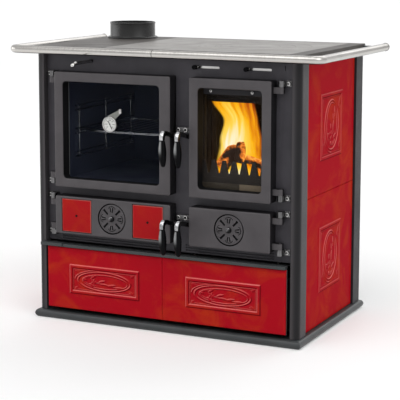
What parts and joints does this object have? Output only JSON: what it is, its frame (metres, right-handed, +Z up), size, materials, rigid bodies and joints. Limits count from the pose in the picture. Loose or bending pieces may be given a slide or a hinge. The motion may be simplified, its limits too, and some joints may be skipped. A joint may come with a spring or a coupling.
{
  "type": "cast iron range cooker",
  "caption": "Free-standing cast iron wood cooker: glazed oven and fire doors, small lower doors, tiled wood drawer, ground hob with rings, flue collar, towel rail.",
  "frame": {"origin": "on the floor under the middle of the plinth, on its rib", "axes": "+X to the cooker's right seen from the front, along its width; the front faces -Y; +Z up"},
  "size_m": [1.03, 0.6469, 0.903],
  "materials": {
    "iron": "matt charcoal stove paint on cast iron",
    "door_iron": "matt grey stove paint on cast iron",
    "top_iron": "bare ground cast iron, dark",
    "ground_iron": "bare ground cast iron",
    "collar_iron": "dark grey stove paint",
    "trim_steel": "dark grey-green stove paint on steel",
    "sheet_steel": "dark paint on steel sheet",
    "tile_red": "glossy red crackled glaze, opaque",
    "rail_steel": "fine brushed tube",
    "bright_steel": "bright turned steel",
    "lever_chrome": "polished",
    "grip_black": "black, smooth",
    "oven_steel": "dull steel",
    "wire_chrome": "plated wire",
    "fire_iron": "bare cast iron, sooty",
    "hinge_steel": "zinc plated",
    "rope_seal": "glass fibre rope",
    "dark_glass": "dark reflecting oven glass",
    "clear_glass": "clear ceramic glass, warm tint",
    "dial_white": "white dial in a steel rim",
    "needle_black": "black"
  },
  "bodies": {
    "cabinet": {"plinth": "trim_steel", "post_front_left": "iron", "post_front_right": "iron", "post_rear_left": "iron", "post_rear_right": "iron", "side_panel_left": "sheet_steel", "side_panel_right": "sheet_steel", "side_tiles_left": "tile_red", "side_tiles_right": "tile_red", "back_panel": "sheet_steel", "facade": "iron", "top_frame": "top_iron", "cooking_plate": "ground_iron", "rail_front": "rail_steel", "rail_left": "rail_steel", "rail_right": "rail_steel", "rail_brackets": "trim_steel", "flue_collar": "collar_iron", "oven_box": "oven_steel", "oven_side_racks": "wire_chrome", "oven_shelf": "wire_chrome", "firebox_liners": "fire_iron", "fire_grate": "fire_iron", "log_guard": "fire_iron", "ash_chamber": "fire_iron", "ash_pan": "oven_steel", "cleaning_chamber": "sheet_steel", "middle_shelf": "sheet_steel", "drawer_runners": "hinge_steel", "latch_keepers": "hinge_steel", "hinge_brackets": "hinge_steel", "door_seals": "rope_seal"},
    "oven_door": {"oven_door_frame": "door_iron", "oven_door_glass": "dark_glass", "thermometer_case": "dial_white"},
    "needle": {"thermometer_needle": "needle_black"},
    "oven_handle": {"oven_handle_lever": "lever_chrome", "oven_handle_grip": "grip_black"},
    "tile_door": {"tile_door_frame": "door_iron", "tile_door_tiles": "tile_red"},
    "tile_rosette": {"tile_door_rosette": "door_iron"},
    "tile_handle": {"tile_handle_lever": "lever_chrome", "tile_handle_grip": "grip_black"},
    "fire_door": {"fire_door_frame": "door_iron", "fire_door_glass": "clear_glass", "fire_glass_retainer": "hinge_steel"},
    "fire_handle": {"fire_handle_lever": "lever_chrome", "fire_handle_grip": "grip_black"},
    "ash_door": {"ash_door_frame": "door_iron"},
    "ash_rosette": {"ash_door_rosette": "door_iron"},
    "ash_handle": {"ash_handle_lever": "lever_chrome", "ash_handle_grip": "grip_black"},
    "wood_drawer": {"drawer_box": "trim_steel", "drawer_tiles": "tile_red"},
    "damper": {"flue_damper": "bright_steel"},
    "air_left": {"air_slider_left": "bright_steel"},
    "air_right": {"air_slider_right": "bright_steel"},
    "outer_ring": {"ring_outer": "ground_iron"},
    "inner_ring": {"ring_inner": "ground_iron"},
    "lid": {"hob_lid": "ground_iron"}
  },
  "joints": [
    {"name": "oven_door_hinge", "type": "hinge", "parent": "cabinet", "child": "oven_door", "pos_m": [-0.38, -0.262, 0.5985], "axis": [0, 0, -1], "range_deg": [0, 105]},
    {"name": "tile_door_hinge", "type": "hinge", "parent": "cabinet", "child": "tile_door", "pos_m": [-0.38, -0.262, 0.3355], "axis": [0, 0, -1], "range_deg": [0, 105]},
    {"name": "fire_door_hinge", "type": "hinge", "parent": "cabinet", "child": "fire_door", "pos_m": [0.373, -0.262, 0.5985], "axis": [0, 0, 1], "range_deg": [0, 105]},
    {"name": "ash_door_hinge", "type": "hinge", "parent": "cabinet", "child": "ash_door", "pos_m": [0.373, -0.262, 0.3355], "axis": [0, 0, 1], "range_deg": [0, 105]},
    {"name": "oven_handle_pivot", "type": "hinge", "parent": "oven_door", "child": "oven_handle", "pos_m": [0.039, -0.276, 0.6], "axis": [-1, 0, 0], "range_deg": [0, 55]},
    {"name": "tile_handle_pivot", "type": "hinge", "parent": "tile_door", "child": "tile_handle", "pos_m": [0.039, -0.276, 0.338], "axis": [-1, 0, 0], "range_deg": [0, 55]},
    {"name": "fire_handle_pivot", "type": "hinge", "parent": "fire_door", "child": "fire_handle", "pos_m": [0.088, -0.276, 0.6], "axis": [-1, 0, 0], "range_deg": [0, 55]},
    {"name": "ash_handle_pivot", "type": "hinge", "parent": "ash_door", "child": "ash_handle", "pos_m": [0.088, -0.276, 0.338], "axis": [-1, 0, 0], "range_deg": [0, 55]},
    {"name": "tile_rosette_turn", "type": "hinge", "parent": "tile_door", "child": "tile_rosette", "pos_m": [-0.1635, -0.285, 0.3355], "axis": [0, -1, 0], "range_deg": [0, 45]},
    {"name": "ash_rosette_turn", "type": "hinge", "parent": "ash_door", "child": "ash_rosette", "pos_m": [0.2235, -0.285, 0.3355], "axis": [0, -1, 0], "range_deg": [0, 45]},
    {"name": "needle_turn", "type": "hinge", "parent": "oven_door", "child": "needle", "pos_m": [-0.1815, -0.262, 0.62], "axis": [0, 1, 0], "range_deg": [-240, 25]},
    {"name": "wood_drawer_slide", "type": "slide", "parent": "cabinet", "child": "wood_drawer", "axis": [0, -1, 0], "range_m": [0, 0.38]},
    {"name": "damper_pull", "type": "slide", "parent": "cabinet", "child": "damper", "axis": [0, 1, 0], "range_m": [0, 0.09]},
    {"name": "air_left_slide", "type": "slide", "parent": "cabinet", "child": "air_left", "axis": [1, 0, 0], "range_m": [0, 0.055]},
    {"name": "air_right_slide", "type": "slide", "parent": "cabinet", "child": "air_right", "axis": [1, 0, 0], "range_m": [0, 0.055]},
    {"name": "outer_ring_lift", "type": "slide", "parent": "cabinet", "child": "outer_ring", "axis": [0, 0, 1], "range_m": [0, 0.12]},
    {"name": "inner_ring_lift", "type": "slide", "parent": "outer_ring", "child": "inner_ring", "axis": [0, 0, 1], "range_m": [0, 0.12]},
    {"name": "lid_lift", "type": "slide", "parent": "inner_ring", "child": "lid", "axis": [0, 0, 1], "range_m": [0, 0.12]}
  ]
}
